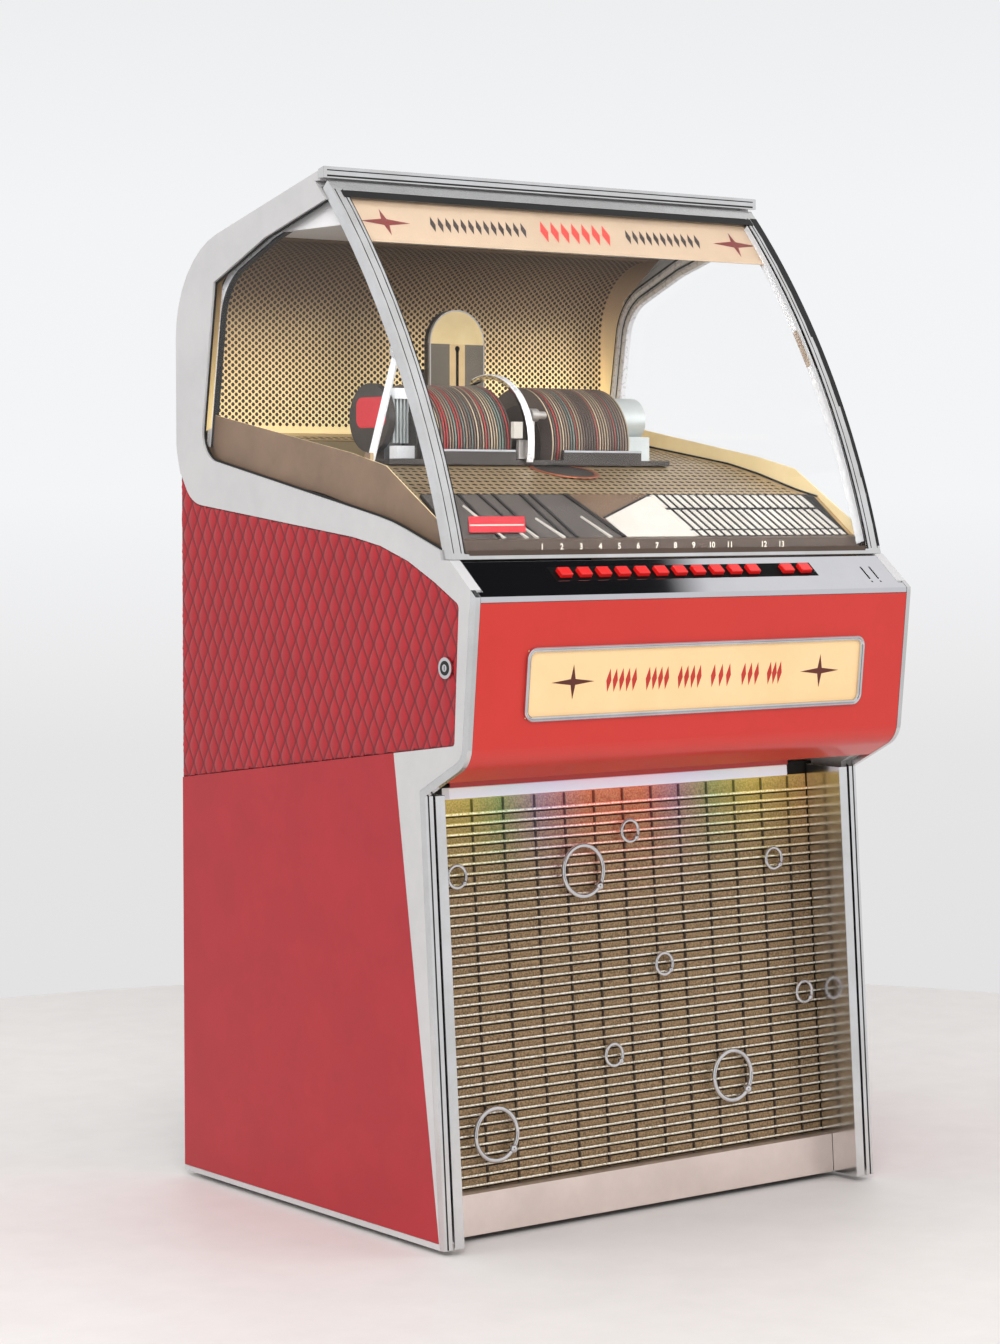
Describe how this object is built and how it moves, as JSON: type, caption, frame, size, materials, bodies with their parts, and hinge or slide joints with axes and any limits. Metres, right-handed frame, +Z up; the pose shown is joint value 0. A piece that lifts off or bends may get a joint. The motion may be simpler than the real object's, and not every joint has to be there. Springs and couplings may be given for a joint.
{
  "type": "jukebox",
  "caption": "Floor-standing vinyl jukebox with a curved opening windscreen, key row on a sloped plate, lit sign panel and a leaning wire grille between polished legs.",
  "frame": {"origin": "centre of the footprint of the bounding box, on the floor", "axes": "+X to the right as seen from the front, +Y to the back, +Z up"},
  "size_m": [0.838, 0.769, 1.536],
  "materials": {
    "white_laminate": "white laminate over board, satin",
    "red_vinyl": "embossed red vinyl, satin",
    "red_paint": "gloss red enamel",
    "polished_steel": "mirror polished",
    "satin_steel": "satin",
    "ring_chrome": "bright chrome",
    "grille_metal": "woven wire over a perforated sheet, antique gold",
    "light_bar": "opal, lit",
    "black_board": "matt black",
    "sign_cream": "opal cream, lit",
    "key_red": "gloss",
    "clear_glass": "clear",
    "white_enamel": "satin white enamel",
    "gold_sheet": "perforated, gold anodised",
    "title_white": "white card holders in a dark frame",
    "mechanism_dark": "black chrome",
    "record_vinyl": "black discs with coloured edges",
    "black_plastic": "moulded",
    "cast_alloy": "cast"
  },
  "bodies": {
    "cabinet": {"side_board_left": "white_laminate", "side_board_right": "white_laminate", "roof_panel": "white_laminate", "header_light_box": "white_laminate", "quilt_panel_left": "red_vinyl", "quilt_panel_right": "red_vinyl", "lower_panel_left": "red_vinyl", "lower_panel_right": "red_vinyl", "front_shell": "red_paint", "edge_trim_left": "polished_steel", "edge_trim_right": "polished_steel", "leg_channel_left": "polished_steel", "leg_channel_right": "polished_steel", "control_plate": "polished_steel", "kick_plate": "satin_steel", "cash_box": "satin_steel", "ring_upper": "ring_chrome", "ring_lower_left": "ring_chrome", "ring_lower_right": "ring_chrome", "sign_bezel": "ring_chrome", "grille_panel": "grille_metal", "light_bar": "light_bar", "speaker_baffle": "black_board", "base_board": "black_board", "sign_panel": "sign_cream", "side_window_left": "clear_glass", "side_window_right": "clear_glass", "rear_liner": "gold_sheet", "record_deck": "gold_sheet", "title_panel": "title_white", "mechanism_frame": "mechanism_dark", "record_bank_left": "record_vinyl", "record_bank_right": "record_vinyl", "woofer_left": "black_plastic", "woofer_right": "black_plastic", "drive_motor": "cast_alloy", "amplifier": "cast_alloy"},
    "windscreen": {"windscreen_frame": "polished_steel", "windscreen_glass": "clear_glass", "header_strip": "sign_cream"},
    "stay": {"stay_arm": "white_enamel"},
    "lock": {"side_lock": "ring_chrome"},
    "door": {"rear_door": "black_board", "mains_inlet": "black_plastic"},
    "carriage": {"player_carriage": "mechanism_dark"},
    "disc_drive": {"turntable": "black_plastic"},
    "pickup": {"pickup_arm": "cast_alloy"},
    "key_01_body": {"key_01": "key_red"},
    "key_02_body": {"key_02": "key_red"},
    "key_03_body": {"key_03": "key_red"},
    "key_04_body": {"key_04": "key_red"},
    "key_05_body": {"key_05": "key_red"},
    "key_06_body": {"key_06": "key_red"},
    "key_07_body": {"key_07": "key_red"},
    "key_08_body": {"key_08": "key_red"},
    "key_09_body": {"key_09": "key_red"},
    "key_10_body": {"key_10": "key_red"},
    "key_11_body": {"key_11": "key_red"},
    "key_12_body": {"key_12": "key_red"},
    "key_13_body": {"key_13": "key_red"}
  },
  "joints": [
    {"name": "windscreen_hinge", "type": "hinge", "parent": "cabinet", "child": "windscreen", "pos_m": [0, -0.0245, 1.516], "axis": [-1, 0, 0], "range_deg": [0, 60]},
    {"name": "stay_pivot", "type": "hinge", "parent": "windscreen", "child": "stay", "pos_m": [-0.387, -0.1625, 1.267], "axis": [1, 0, 0], "range_deg": [-45, 45]},
    {"name": "side_lock_turn", "type": "hinge", "parent": "cabinet", "child": "lock", "pos_m": [-0.4, -0.3175, 0.824], "axis": [-1, 0, 0], "range_deg": [0, 90]},
    {"name": "rear_door_hinge", "type": "hinge", "parent": "cabinet", "child": "door", "pos_m": [-0.3925, 0.3735, 0.54], "axis": [0, 0, 1], "range_deg": [0, 110]},
    {"name": "carriage_travel", "type": "slide", "parent": "cabinet", "child": "carriage", "axis": [1, 0, 0], "range_m": [-0.145, 0.18]},
    {"name": "disc_drive_spin", "type": "hinge", "parent": "carriage", "child": "disc_drive", "pos_m": [-0.022, 0.2045, 1.235], "axis": [1, 0, 0], "continuous": true},
    {"name": "pickup_swing", "type": "hinge", "parent": "carriage", "child": "pickup", "pos_m": [-0.022, 0.2045, 1.17], "axis": [1, 0, 0], "range_deg": [-20, 20]},
    {"name": "key_01_press", "type": "slide", "parent": "cabinet", "child": "key_01_body", "axis": [0, 0.6362, -0.7715], "range_m": [0, 0.003], "stiffness_N_per_m": 150, "springref_m": -0.002},
    {"name": "key_02_press", "type": "slide", "parent": "cabinet", "child": "key_02_body", "axis": [0, 0.6362, -0.7715], "range_m": [0, 0.003], "stiffness_N_per_m": 150, "springref_m": -0.002},
    {"name": "key_03_press", "type": "slide", "parent": "cabinet", "child": "key_03_body", "axis": [0, 0.6362, -0.7715], "range_m": [0, 0.003], "stiffness_N_per_m": 150, "springref_m": -0.002},
    {"name": "key_04_press", "type": "slide", "parent": "cabinet", "child": "key_04_body", "axis": [0, 0.6362, -0.7715], "range_m": [0, 0.003], "stiffness_N_per_m": 150, "springref_m": -0.002},
    {"name": "key_05_press", "type": "slide", "parent": "cabinet", "child": "key_05_body", "axis": [0, 0.6362, -0.7715], "range_m": [0, 0.003], "stiffness_N_per_m": 150, "springref_m": -0.002},
    {"name": "key_06_press", "type": "slide", "parent": "cabinet", "child": "key_06_body", "axis": [0, 0.6362, -0.7715], "range_m": [0, 0.003], "stiffness_N_per_m": 150, "springref_m": -0.002},
    {"name": "key_07_press", "type": "slide", "parent": "cabinet", "child": "key_07_body", "axis": [0, 0.6362, -0.7715], "range_m": [0, 0.003], "stiffness_N_per_m": 150, "springref_m": -0.002},
    {"name": "key_08_press", "type": "slide", "parent": "cabinet", "child": "key_08_body", "axis": [0, 0.6362, -0.7715], "range_m": [0, 0.003], "stiffness_N_per_m": 150, "springref_m": -0.002},
    {"name": "key_09_press", "type": "slide", "parent": "cabinet", "child": "key_09_body", "axis": [0, 0.6362, -0.7715], "range_m": [0, 0.003], "stiffness_N_per_m": 150, "springref_m": -0.002},
    {"name": "key_10_press", "type": "slide", "parent": "cabinet", "child": "key_10_body", "axis": [0, 0.6362, -0.7715], "range_m": [0, 0.003], "stiffness_N_per_m": 150, "springref_m": -0.002},
    {"name": "key_11_press", "type": "slide", "parent": "cabinet", "child": "key_11_body", "axis": [0, 0.6362, -0.7715], "range_m": [0, 0.003], "stiffness_N_per_m": 150, "springref_m": -0.002},
    {"name": "key_12_press", "type": "slide", "parent": "cabinet", "child": "key_12_body", "axis": [0, 0.6362, -0.7715], "range_m": [0, 0.003], "stiffness_N_per_m": 150, "springref_m": -0.002},
    {"name": "key_13_press", "type": "slide", "parent": "cabinet", "child": "key_13_body", "axis": [0, 0.6362, -0.7715], "range_m": [0, 0.003], "stiffness_N_per_m": 150, "springref_m": -0.002}
  ]
}
